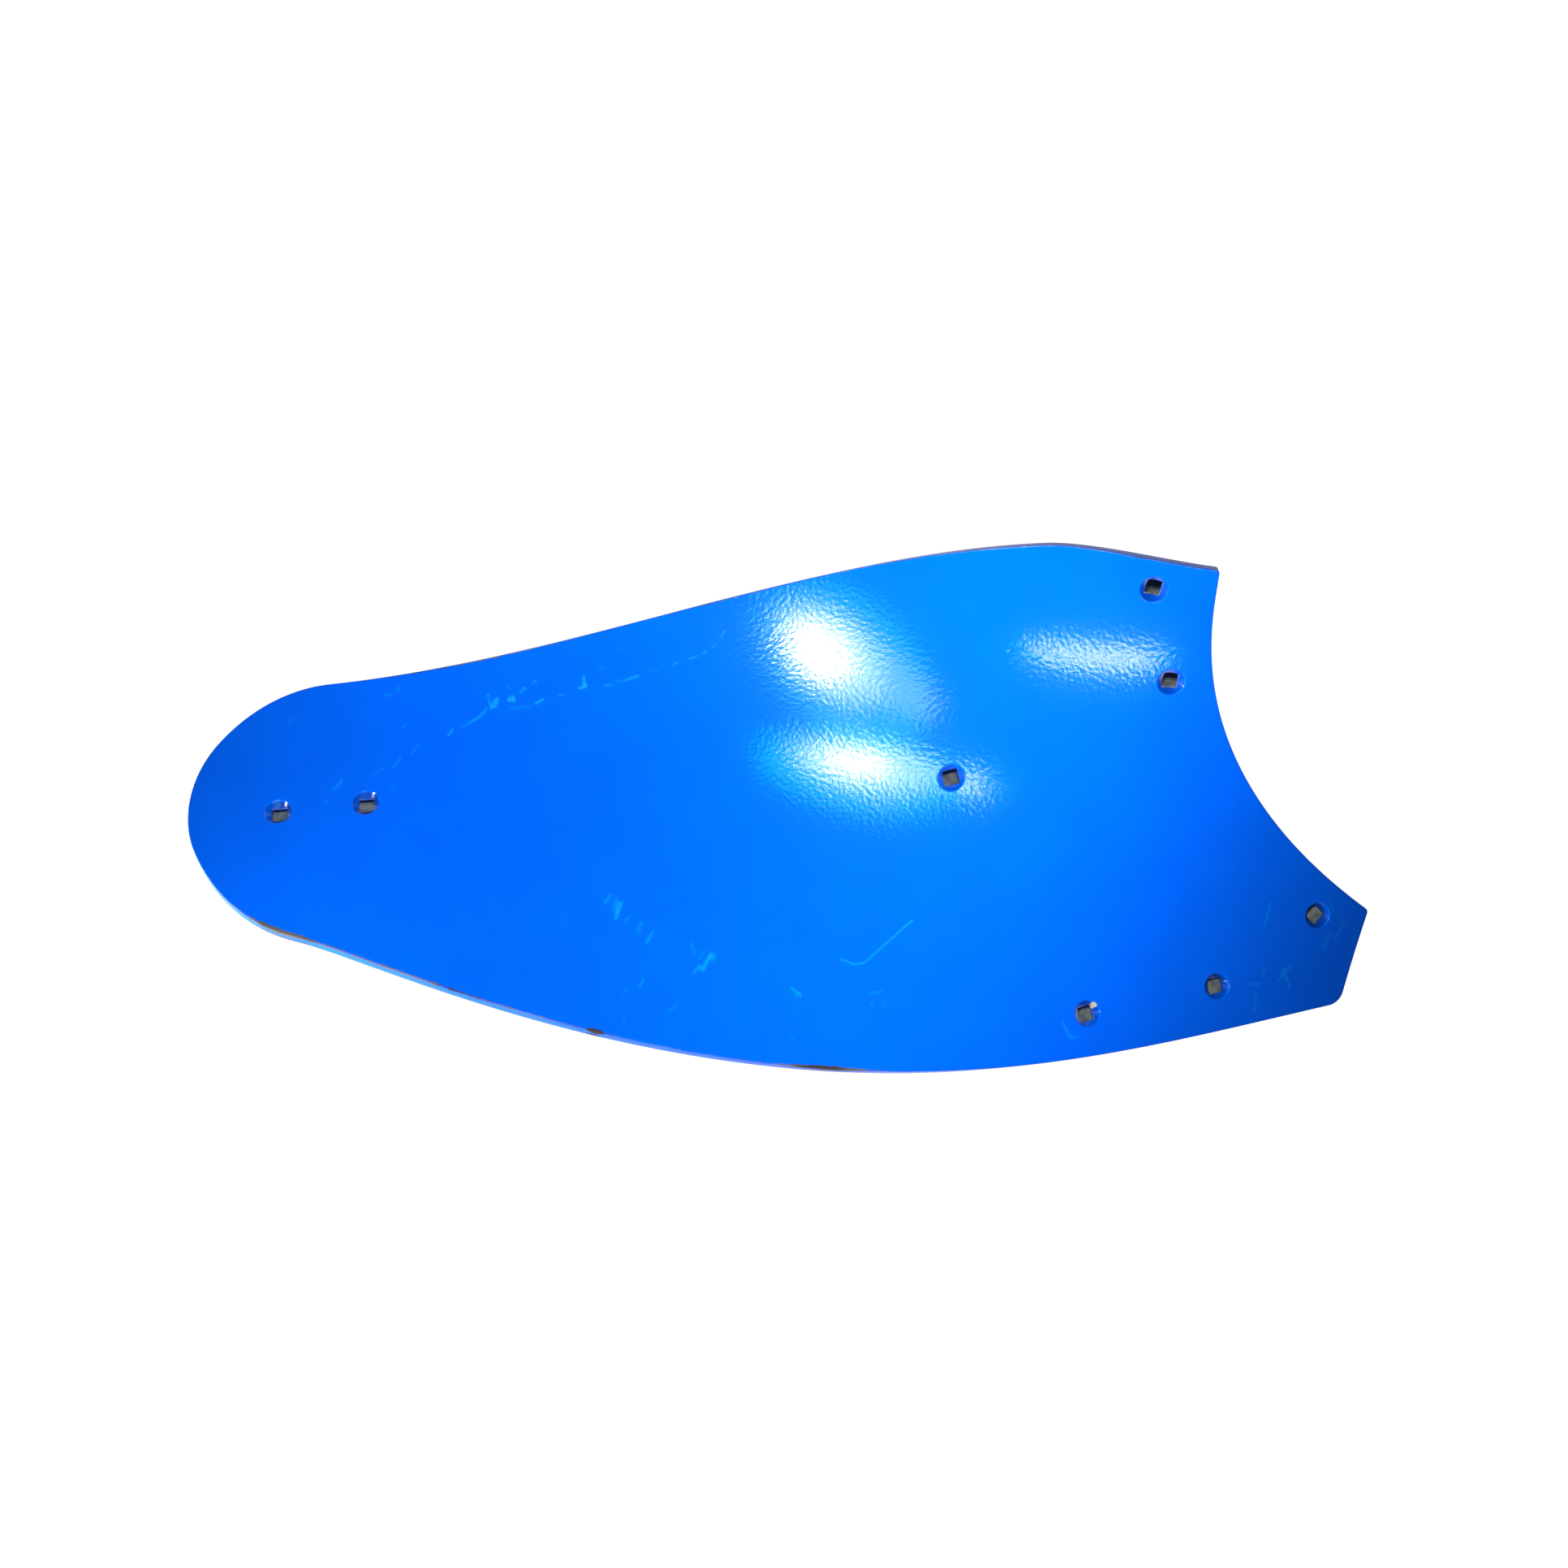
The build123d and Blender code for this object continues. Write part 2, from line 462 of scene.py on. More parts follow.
@dataclass
class Wear:
    """Marks in the paint, and the places where the rim is worn further in.

    Each worn place of the rim has its middle, its reach and its depth.
    """

    border_gap: float = 0.8
    curl: tuple[Mark, ...] = (
        Mark(((-332, 48), (-328, 54)), 0.8),
        Mark(((-321, 56), (-314, 59)), 0.6),
        Mark(((-311, 61), (-304, 65), (-299, 70), (-296, 74)), 0.8),
    )
    nicks: tuple[Mark, ...] = strokes(
        (-295, 89, -292, 78, 0.7), (-291, 75, -286, 85, 1), (-287, 76, -284, 84, 0.8),
        (-275, 100, -274, 95, 0.5), (-274, 83, -268, 83, 1), (-273, 86, -269, 87, 0.9),
        (-262, 91, -258, 96, 0.8), (-250, 100, -247, 103, 0.7), (-199, 107, -198, 96, 0.9),
        (-203, 95, -196, 97, 0.9),
    )
    broken_line: tuple[Mark, ...] = strokes(
        (-271, 75, -250, 77, 0.5), (-246, 80, -239, 84, 0.9), (-224, 88, -217, 89, 0.6),
        (-178, 97, -170, 99, 0.6), (-165, 101, -160, 102, 0.5), (-156, 103, -144, 107, 0.7),
        (-136, 111, -124, 113, 0.4), (-109, 118, -105, 120, 0.6), (-94, 123, -86, 126, 0.5),
        (-79, 129, -76, 131, 0.5), (-71, 134, -67, 138, 0.4), (-62, 144, -58, 151, 0.4),
    )
    tail_scuffs: tuple[Mark, ...] = strokes(
        (-184, 113, -178, 117, 0.4), (-166, 132, -159, 134, 0.4), (-400, 88, -394, 90, 0.6),
        (-387, 93, -385, 98, 0.6), (-379, 55, -375, 61, 0.5), (-367, 30, -361, 39, 0.5),
        (-384, 16, -376, 28, 0.5), (-404, 8, -392, 16, 0.4), (-439, -6, -432, 3, 0.7),
        (-447, -17, -442, -17, 0.5), (-384, -6, -379, -2, 0.4), (-494, 59, -491, 66, 0.4),
    )
    hatching: tuple[Mark, ...] = strokes(
        (-170, -113, -165, -106, 0.68), (-162, -120, -159, -107, 0.51),
        (-159, -127, -154, -112, 0.85), (-151, -130, -147, -126, 0.51),
        (-138, -140, -135, -131, 0.59), (-129, -149, -124, -139, 0.68),
        (-88, -151, -84, -160, 0.51), (-80, -165, -75, -157, 0.42),
        (-76, -175, -70, -161, 0.85), (-66, -167, -64, -161, 0.42),
        (-85, -178, -80, -171, 0.59),
        half_width=3.5,
    )
    specks: tuple[Mark, ...] = strokes(
        (-134, -188, -131, -182, 0.6), (-149, -194, -145, -189, 0.4),
        (-107, -210, -100, -206, 0.5), (-148, -213, -146, -220, 0.4), (7, -193, 16, -201, 0.7),
        (11, -200, 15, -198, 0.6), (83, -200, 93, -199, 0.5), (83, -212, 84, -209, 0.5),
        (94, -212, 96, -208, 0.4),
    )
    tick: tuple[Mark, ...] = (
        Mark(((7, -238), (9, -238)), 0.5, 2),
        Mark(((55, -168), (67, -173), (77, -172), (101, -152), (125, -132)), 0.7, 2.2),
    )
    heel_scuffs: tuple[Mark, ...] = strokes(
        (273, -234, 281, -249, 0.6), (284, -248, 288, -247, 0.5), (485, -143, 490, -119, 0.5),
        (470, -202, 480, -202, 0.5), (483, -193, 485, -186, 0.5), (474, -229, 476, -213, 0.5),
        (500, -199, 514, -184, 0.5), (505, -188, 513, -206, 0.6), (548, -168, 556, -152, 0.5),
        (553, -121, 558, -129, 0.6), (562, -156, 571, -140, 0.5),
    )
    worn_rim: tuple[tuple[Point, float, float], ...] = (
        ((-464, -139), 32, 2.4),
        ((-330, -188), 130, 1.1),
        ((-173, -230), 8, 5),
        ((38, -277), 38, 3),
        ((-310, 135), 120, 1.3),
        ((-60, 205), 70, 1),
        ((340, 215), 60, 0.5),
        ((-560, 20), 60, 0.6),
    )

    def marks(self) -> tuple[Mark, ...]:
        """All the marks."""
        at_tail = self.curl + self.nicks + self.broken_line + self.tail_scuffs
        return at_tail + self.hatching + self.specks + self.tick + self.heel_scuffs

    def points(self) -> tuple[np.ndarray, np.ndarray]:
        """Points that draw the marks in a face of the blank.

        Returns:
            One point a row, and how strong the mark is at each.
        """
        marks = self.marks()
        runs = [mark.run() for mark in marks]
        points = np.concatenate(runs)
        values = np.concatenate([np.full(len(r), m.strength) for m, r in zip(marks, runs)])
        for mark in marks:
            for spot in mark.borders():
                gap = np.linalg.norm(points - spot, axis=1).min()
                if gap > self.border_gap * mark.half_width:
                    points = np.vstack([points, spot])
                    values = np.append(values, 0)
        return points, values

    def rim_loss(self, points: np.ndarray) -> np.ndarray:
        """How much further in than elsewhere the rim is worn, at points of the plan."""
        loss = np.zeros(len(points))
        for centre, reach, depth in self.worn_rim:
            gap = np.linalg.norm(points - np.array(centre), axis=1)
            loss += depth * np.exp(-((gap / reach) ** 2))
        return loss


class ShaderValue:
    """A number or colour on its way through a node tree, for writing shader maths in Python."""

    def __init__(self, tree: "NodeTree", socket: bpy.types.NodeSocket) -> None:
        """Wraps a socket of the tree."""
        self.tree = tree
        self.socket = socket

    def math(self, operation: str, *others: Any) -> "ShaderValue":
        """Adds a Math node that works on this value and the others."""
        return self.tree.node("ShaderNodeMath", {"operation": operation}, (self, *others))

    def __add__(self, other: Any) -> "ShaderValue":
        """Sum of two values."""
        return self.math("ADD", other)

    __radd__ = __add__

    def __sub__(self, other: Any) -> "ShaderValue":
        """This value less another."""
        return self.math("SUBTRACT", other)

    def __rsub__(self, other: float) -> "ShaderValue":
        """A number less this value."""
        return self.tree.node("ShaderNodeMath", {"operation": "SUBTRACT"}, (other, self))

    def __mul__(self, other: Any) -> "ShaderValue":
        """Product of two values."""
        return self.math("MULTIPLY", other)

    __rmul__ = __mul__

    def __truediv__(self, other: Any) -> "ShaderValue":
        """This value over another."""
        return self.math("DIVIDE", other)

    def __rtruediv__(self, other: float) -> "ShaderValue":
        """A number over this value."""
        return self.tree.node("ShaderNodeMath", {"operation": "DIVIDE"}, (other, self))

    def __neg__(self) -> "ShaderValue":
        """This value with its sign turned."""
        return self * -1.0

    def power(self, exponent: float) -> "ShaderValue":
        """This value to a power."""
        return self.math("POWER", exponent)

    def largest(self, other: Any) -> "ShaderValue":
        """The larger of two values."""
        return self.math("MAXIMUM", other)

    def fade(self, start: float, stop: float) -> "ShaderValue":
        """Goes smoothly from 0 where this value is start to 1 where it is stop."""
        settings = {"interpolation_type": "SMOOTHSTEP"}
        return self.tree.node("ShaderNodeMapRange", settings, (self, start, stop, 0.0, 1.0))


class NodeTree:
    """Node tree in which one method makes the nodes."""

    def __init__(self, tree: bpy.types.NodeTree) -> None:
        """Empties the tree and keeps it."""
        self.tree = tree
        tree.nodes.clear()

    def node(
        self,
        kind: str,
        settings: dict[str, Any] | None = None,
        inputs: Sequence[Any] | dict[Any, Any] = (),
        output: int | str = 0,
    ) -> ShaderValue:
        """Makes a node, with its settings first and then its inputs.

        Args:
            kind: Type of the node.
            settings: Properties of the node, by name.
            inputs: Numbers, tuples or values, by order or by socket name.
            output: Which of the node's outputs is given back.

        Returns:
            The output, ready for shader maths.
        """
        made = self.tree.nodes.new(kind)
        for name, value in (settings or {}).items():
            setattr(made, name, value)
        pairs = inputs.items() if isinstance(inputs, dict) else enumerate(inputs)
        for key, value in pairs:
            if isinstance(value, ShaderValue):
                self.tree.links.new(value.socket, made.inputs[key])
            elif value is not None:
                made.inputs[key].default_value = value
        socket = made.outputs[output] if len(made.outputs) else None
        return ShaderValue(self, socket)

    def mix_colour(self, factor: Any, first: Any, second: Any) -> ShaderValue:
        """Mixes two colours by a factor."""
        inputs = {0: factor, 6: first, 7: second}
        return self.node("ShaderNodeMix", {"data_type": "RGBA"}, inputs, output=2)

    def vector_math(self, operation: str, inputs: Sequence[Any] | dict[Any, Any]) -> ShaderValue:
        """Adds a Vector Math node."""
        return self.node("ShaderNodeVectorMath", {"operation": operation}, inputs)

    def attribute(self, name: str, output: str) -> ShaderValue:
        """Reads an attribute of the mesh."""
        return self.node("ShaderNodeAttribute", {"attribute_name": name}, (), output)

    def noise(self, vector: ShaderValue, scale: float, detail: float) -> ShaderValue:
        """Noise from 0 to 1 over a vector field."""
        inputs = {"Vector": vector, "Scale": scale, "Detail": detail}
        return self.node("ShaderNodeTexNoise", {}, inputs)


def new_material(name: str) -> tuple[bpy.types.Material, NodeTree]:
    """Makes a material and wraps its node tree."""
    material = bpy.data.materials.new(name)
    material.use_nodes = True
    return material, NodeTree(material.node_tree)


class PressTree(NodeTree):
    """Geometry Nodes tree that presses the flat blank into form and lays it on the floor.

    A blank's point is its place in plan and, as its height, how deep it lies below
    the working face. The place in plan is kept on the mesh for the materials.
    """

    def __init__(self, names: Iterable[str]) -> None:
        """Builds the tree with an input for each named size."""
        super().__init__(bpy.data.node_groups.new("press_the_blank", "GeometryNodeTree"))
        face = self.tree.interface
        face.new_socket("Geometry", in_out="INPUT", socket_type="NodeSocketGeometry")
        for name in names:
            face.new_socket(name, in_out="INPUT", socket_type="NodeSocketFloat")
        face.new_socket("Place", in_out="INPUT", socket_type="NodeSocketVector")
        face.new_socket("Material", in_out="INPUT", socket_type="NodeSocketMaterial")
        face.new_socket("Geometry", in_out="OUTPUT", socket_type="NodeSocketGeometry")
        self.build()

    def build(self) -> None:
        """Adds the nodes: keep the plan, press, lay down, shade and paint."""
        group = self.tree.nodes.new("NodeGroupInput")
        given = {socket.name: ShaderValue(self, socket) for socket in group.outputs if socket.name}
        place = self.node("GeometryNodeInputPosition")
        kept = self.node(
            "GeometryNodeStoreNamedAttribute",
            {"data_type": "FLOAT_VECTOR", "domain": "POINT"},
            {"Geometry": given["Geometry"], "Name": "plan", "Value": place},
        )
        pressed = self.node(
            "GeometryNodeSetPosition", {}, {"Geometry": kept, "Position": self.press(given, place)}
        )
        pitch = self.combine(0.0, given["Rest Pitch"], 0.0)
        tipped = self.node("GeometryNodeTransform", {}, {"Geometry": pressed, "Rotation": pitch})
        roll = self.combine(given["Rest Roll"], 0.0, 0.0)
        laid = self.node(
            "GeometryNodeTransform",
            {},
            {"Geometry": tipped, "Rotation": roll, "Translation": given["Place"]},
        )
        smooth = self.node("GeometryNodeSetShadeSmooth", {}, {"Geometry": laid})
        real = self.node("GeometryNodeRealizeInstances", {}, {"Geometry": smooth})
        painted = self.node(
            "GeometryNodeSetMaterial", {}, {"Geometry": real, "Material": given["Material"]}
        )
        self.node("NodeGroupOutput", {}, {0: painted})

    def combine(self, x: Any, y: Any, z: Any) -> ShaderValue:
        """Vector from its three parts."""
        return self.node("ShaderNodeCombineXYZ", {}, (x, y, z))

    def press(self, given: dict[str, ShaderValue], place: ShaderValue) -> ShaderValue:
        """Where a point of the blank goes: onto the working face, then down along its normal.

        Args:
            given: The tree's inputs by name.
            place: The point's place in the blank.

        Returns:
            The point's place on the pressed plate.
        """
        x, y, depth = (self.node("ShaderNodeSeparateXYZ", {}, (place,), axis) for axis in "XYZ")
        half = given["Half Length"]
        tightening = (given["Nose Radius"] - given["Tail Radius"]) / (half * 2.0)
        share = x / half
        nose_share = share.largest(0.0)
        radius = given["Tail Radius"] + tightening * (x + half)
        lean = given["Middle Lean"] - given["End Twist"] * (share * 1.5 - share.power(3.0) * 0.5)
        turning = given["End Twist"] * (share * share - 1.0) * 1.5 / half
        sine = lean.math("SINE")
        cosine = lean.math("COSINE")
        centre_y = radius * sine
        centre_z = radius * cosine - given["Nose Drop"] * nose_share.power(3.0)
        off = y - centre_y
        stand = (radius * radius - off * off).math("SQRT")
        centre_y_rate = tightening * sine + radius * cosine * turning
        drop_rate = given["Nose Drop"] * nose_share * nose_share * 3.0 / half
        centre_z_rate = tightening * cosine - radius * sine * turning - drop_rate
        slope_x = centre_z_rate - (radius * tightening + off * centre_y_rate) / stand
        slope_y = off / stand
        normal = self.vector_math("NORMALIZE", (self.combine(-slope_x, -slope_y, 1.0),))
        face = self.combine(x, y, centre_z - stand)
        below = self.vector_math("SCALE", {"Vector": normal, "Scale": depth})
        return self.vector_math("ADD", (face, below))


@dataclass
class Mouldboard:
    """The plate: its form, outline, bolt holes and rims, made as a blank and then pressed."""

    form: PressedForm = field(default_factory=PressedForm)
    outline: Outline = field(default_factory=Outline)
    wear: Wear = field(default_factory=Wear)
    thickness: float = 8
    rim_rounding: float = 1
    rim_steps: int = 4
    wall_step: float = 1.6
    grid_pitch: float = 7
    grid_gap: float = 0.55
    weld_gap: float = 1e-5
    holes: tuple[BoltHole, ...] = (
        BoltHole("share", (346.5, 182), -10),
        BoltHole("shin", (372.5, 98), -6),
        BoltHole("breast", (541.5, -133.5), 48),
        BoltHole("heel", (434.5, -203), 10, chip=0.6, chip_turn=25, chip_reach=2.5),
        BoltHole("wing", (298.5, -226), 14, chip=1),
        BoltHole("frog", (163.5, 6), 15),
        BoltHole("rear_stay", (-488.5, -26.5), 5),
        BoltHole("front_stay", (-406, -18), 5),
    )

    def rim_profile(self) -> list[tuple[float, float]]:
        """Inset and depth of each ring round the rim, from the working face to the back."""
        quarter = np.radians(np.linspace(0, 90, self.rim_steps + 1))
        bend = [(1 - math.sin(a), 1 - math.cos(a)) for a in quarter]
        top = [(inset * self.rim_rounding, drop * self.rim_rounding) for inset, drop in bend]
        support = (2 * self.rim_rounding, 0.0)
        wall = [(0.0, self.wall_step * self.rim_rounding), (0.0, self.thickness / 2)]
        upper = [support, *top, *wall]
        lower = [(inset, self.thickness - drop) for inset, drop in [support, *top, wall[0]]]
        return upper + lower[::-1]

    def rim_rings(self, edge: np.ndarray) -> list[np.ndarray]:
        """Rings of the blank round its outline, the insets set so that they come out true.

        Args:
            edge: The outline's points.

        Returns:
            For each ring, its points as plan X, plan Y and depth.
        """
        ahead = np.roll(edge, -1, axis=0) - np.roll(edge, 1, axis=0)
        ahead /= np.linalg.norm(ahead, axis=1)[:, None]
        inward = np.column_stack([-ahead[:, 1], ahead[:, 0]])
        climb = (self.form.slope(edge) * inward).sum(axis=1)
        inward /= np.sqrt(1 + climb**2)[:, None]
        return [
            np.column_stack([edge + inward * inset, np.full(len(edge), -drop)])
            for inset, drop in self.rim_profile()
        ]

    def field_points(
        self, edge: np.ndarray, hole_rings: Sequence[np.ndarray]
    ) -> tuple[np.ndarray, np.ndarray]:
        """Points that fill the face: those of the marks, and staggered rows between them.

        Args:
            edge: The innermost ring of the rim, in plan.
            hole_rings: The outermost ring of each hole, in plan.

        Returns:
            One point a row, and how strong a mark is at each.
        """
        row_pitch = self.grid_pitch * math.sin(math.radians(60))
        low = edge.min(axis=0)
        high = edge.max(axis=0)
        rows = []
        for number, y in enumerate(np.arange(low[1], high[1], row_pitch)):
            shift = self.grid_pitch / 2 * (number % 2)
            x = np.arange(low[0] + shift, high[0], self.grid_pitch)
            rows.append(np.column_stack([x, np.full(len(x), y)]))
        grid = np.concatenate(rows)
        marked, values = self.wear.points()
        border = np.concatenate([edge, *hole_rings, marked])
        grid = grid[nearest_gap(grid, border) > self.grid_gap * self.grid_pitch]
        points = np.concatenate([marked, grid])
        values = np.concatenate([values, np.zeros(len(grid))])
        kept = self.inside(points, edge)
        for ring in hole_rings:
            kept &= ~self.inside(points, ring)
        return points[kept], values[kept]

    @staticmethod
    def inside(points: np.ndarray, loop: np.ndarray) -> np.ndarray:
        """Which points lie inside a closed loop of the plan."""
        within = np.zeros(len(points), dtype=bool)
        for (x0, y0), (x1, y1) in zip(loop, np.roll(loop, -1, axis=0)):
            if y0 == y1:
                continue
            spans = (y0 > points[:, 1]) != (y1 > points[:, 1])
            crossing = x0 + (points[:, 1] - y0) * (x1 - x0) / (y1 - y0)
            within ^= spans & (points[:, 0] < crossing)
        return within

    def face_triangles(
        self, rim: np.ndarray, hole_rings: Sequence[np.ndarray]
    ) -> tuple[np.ndarray, np.ndarray, np.ndarray]:
        """Triangulates a face of the blank between its rim and its holes.

        Args:
            rim: The innermost ring of the rim, in plan.
            hole_rings: The outermost ring of each hole, in plan.

        Returns:
            The points, rim first, then the holes, then the field; how strong a mark is
            at each; and the triangles.
        """
        field_points, field_marks = self.field_points(rim, hole_rings)
        points = np.concatenate([rim, *hole_rings, field_points])
        marks = np.zeros(len(points))
        marks[-len(field_marks) :] = field_marks
        edges = []
        first = 0
        for loop in (rim, *hole_rings):
            count = len(loop)
            edges += [(first + k, first + (k + 1) % count) for k in range(count)]
            first += count
        result = delaunay_2d_cdt([Vector(p) for p in points], edges, [], 0, self.weld_gap)
        origin = np.array([ids[0] for ids in result[3]])
        triangles = origin[np.array(result[2])]
        middle = points[triangles].mean(axis=1)
        kept = self.inside(middle, rim)
        for loop in hole_rings:
            kept &= ~self.inside(middle, loop)
        return points, marks, triangles[kept]

    def blank(self) -> bpy.types.Mesh:
        """Makes the flat blank, one closed mesh, with its marks, chips and rim as attributes."""
        edge = self.outline.points()
        rim_rings = self.rim_rings(edge)
        bores = [hole.rings(self.form) for hole in self.holes]
        hole_loops = [rings[0][:, :2] for rings in bores]
        points, marks, triangles = self.face_triangles(rim_rings[0][:, :2], hole_loops)
        # The points of the two faces come first, then the rings between them.
        count = len(points)
        drop = np.full(count, -self.thickness)
        vertices = [np.column_stack([points, np.zeros(count)]), np.column_stack([points, drop])]
        faces = [tuple(face) for face in triangles]
        faces += [tuple(face[::-1] + count) for face in triangles]
        total = 2 * count
        first = 0
        for rings, is_rim in [(rim_rings, True), *((rings, False) for rings in bores)]:
            around = len(rings[0])
            starts = [first, *(total + around * k for k in range(len(rings) - 2)), first + count]
            vertices += rings[1:-1]
            total += around * (len(rings) - 2)
            first += around
            # A band of quads joins each ring to the next.
            for upper, lower in zip(starts, starts[1:]):
                for k in range(around):
                    ahead = (k + 1) % around
                    quad = (upper + k, lower + k, lower + ahead, upper + ahead)
                    faces.append(quad if is_rim else quad[::-1])
        vertices = np.concatenate(vertices)
        chips = [np.zeros(2 * count + len(edge) * (len(rim_rings) - 2))]
        seats = chips.copy()
        for hole, rings in zip(self.holes, bores):
            chips += hole.chips(rings[1:-1])
            seats += hole.seats(rings[1:-1])
        edge_gap = nearest_gap(vertices[:, :2], edge)
        depth = -vertices[:, 2]
        edge_gap += np.minimum(depth, self.thickness - depth)
        mesh = bpy.data.meshes.new("blank")
        mesh.from_pydata((vertices * MM).tolist(), [], faces)
        for name, values in (
            ("mark", np.concatenate([marks, np.zeros(len(vertices) - count)])),
            ("chip", np.concatenate(chips)),
            ("shaded_seat", np.concatenate(seats)),
            ("rim", edge_gap - self.wear.rim_loss(vertices[:, :2])),
        ):
            mesh.attributes.new(name, "FLOAT", "POINT").data.foreach_set("value", values)
        mesh.validate()
        return mesh

    def press(self, finish: bpy.types.Material) -> bpy.types.Object:
        """Presses the blank, lays it down and makes the piece that stands for the node.

        Args:
            finish: The material of the plate.

        Returns:
            The finished plate.
        """
        blank = new_object("blank", self.blank())
        sizes = self.form.inputs()
        tree = PressTree(sizes).tree
        press = blank.modifiers.new("press", "NODES")
        press.node_group = tree
        values = {**sizes, "Place": tuple(self.form.place()), "Material": finish}
        for item in tree.interface.items_tree:
            if item.in_out == "INPUT" and item.name in values:
                press[item.identifier] = values[item.name]
        evaluated = blank.evaluated_get(bpy.context.evaluated_depsgraph_get())
        plate = new_object("mouldboard_plate", bpy.data.meshes.new_from_object(evaluated))
        bpy.data.objects.remove(blank)
        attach(plate, "root")
        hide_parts("mouldboard")
        return plate


@dataclass(frozen=True)
class BluePaint:
    """Glossy blue paint with a slight orange peel, scratched and worn through at the rim, and
    darkened in the countersinks as painted shade.
    """

    colour: Colour = (0.0, 0.134, 0.98, 1)
    shade: Colour = (0.0, 0.126, 0.94, 1)
    # Dark blue for the countersinks: painted shade for the shade that falls in these recesses.
    shaded_seat: Colour = (0.0, 0.07, 0.5, 1)
    scuffed: Colour = (0.0, 0.31, 1.0, 1)
    steel: Colour = (0.13, 0.115, 0.095, 1)
    rust: Colour = (0.035, 0.022, 0.014, 1)
    chipped: Colour = (0.62, 0.56, 0.42, 1)
    gloss: float = 0.105
    gloss_change: float = 0.03
    scuff_roughness: float = 0.25
    seat_roughness: float = 0.1
    steel_roughness: float = 0.55
    peel_scale: float = 240
    peel_height: float = 0.13
    patch_scale: float = 14
    shade_fade: Pair = (0.3, 0.7)
    rust_fade: Pair = (0.4, 0.65)
    grain_scale: float = 700
    scuff_speckle: float = 1.6
    scuff_body: float = 0.2
    scuff_fade: Pair = (0.05, 1.1)
    chip_speckle: float = 0.5
    chip_fade: Pair = (0.35, 0.6)
    ragged_scale: float = 160
    ragged_change: float = 3
    rim_hold: float = 1
    rim_fade: Pair = (0.3, 1.9)

    def material(self) -> bpy.types.Material:
        """Makes the material."""
        material, tree = new_material("blue_paint")
        plan = tree.attribute("plan", "Vector")
        peel = tree.noise(plan, self.peel_scale, detail=1)
        patches = tree.noise(plan, self.patch_scale, detail=3)
        grain = tree.noise(plan, self.grain_scale, detail=2)
        ragged = tree.noise(plan, self.ragged_scale, detail=4)
        ragged = (ragged - 0.5) * self.ragged_change
        speckle = grain * self.scuff_speckle + self.scuff_body
        scuff = (tree.attribute("mark", "Fac") * speckle).fade(*self.scuff_fade)
        rim = tree.attribute("rim", "Fac") + (ragged + self.rim_hold)
        worn = 1.0 - rim.fade(*self.rim_fade)
        chip = tree.attribute("chip", "Fac") + (grain - 0.5) * self.chip_speckle
        chip = chip.fade(*self.chip_fade)
        rusted = tree.mix_colour(patches.fade(*self.rust_fade), self.steel, self.rust)
        colour = tree.mix_colour(patches.fade(*self.shade_fade), self.colour, self.shade)
        colour = tree.mix_colour(scuff, colour, self.scuffed)
        # The countersinks get the dark colour as painted shade, and are made rougher.
        shaded_seat = tree.attribute("shaded_seat", "Fac")
        colour = tree.mix_colour(shaded_seat, colour, self.shaded_seat)
        colour = tree.mix_colour(worn, colour, rusted)
        colour = tree.mix_colour(chip, colour, self.chipped)
        gloss = patches * self.gloss_change + (self.gloss - self.gloss_change / 2)
        bare = worn.largest(chip)
        dull = scuff * self.scuff_roughness + shaded_seat * self.seat_roughness
        roughness = gloss + dull + bare * self.steel_roughness
        bump = tree.node("ShaderNodeBump", {}, {"Distance": self.peel_height * MM, "Height": peel})
        inputs = {"Base Color": colour, "Roughness": roughness, "Normal": bump}
        shader = tree.node("ShaderNodeBsdfPrincipled", {}, inputs)
        tree.node("ShaderNodeOutputMaterial", {}, {"Surface": shader})
        return material


class Role(Enum):
    """What a lamp is there for."""

    FILL = "lights the plate and is not mirrored"
    SHINE = "is mirrored in the gloss and lights nothing else"
    GROUND = "lights the ground that shows through the bolt holes"


WINDOW = (1.0, 1.0, 1.0)
CURTAIN = (0.0, 1.0, 1.0)


@dataclass(frozen=True)
class Lamp:
    """A soft oval lamp, placed in the pressing frame in millimetres."""

    name: str
    role: Role
    place: tuple[float, float, float]
    length: float
    width: float
    turn: float
    power: float
    colour: tuple[float, float, float] = WINDOW


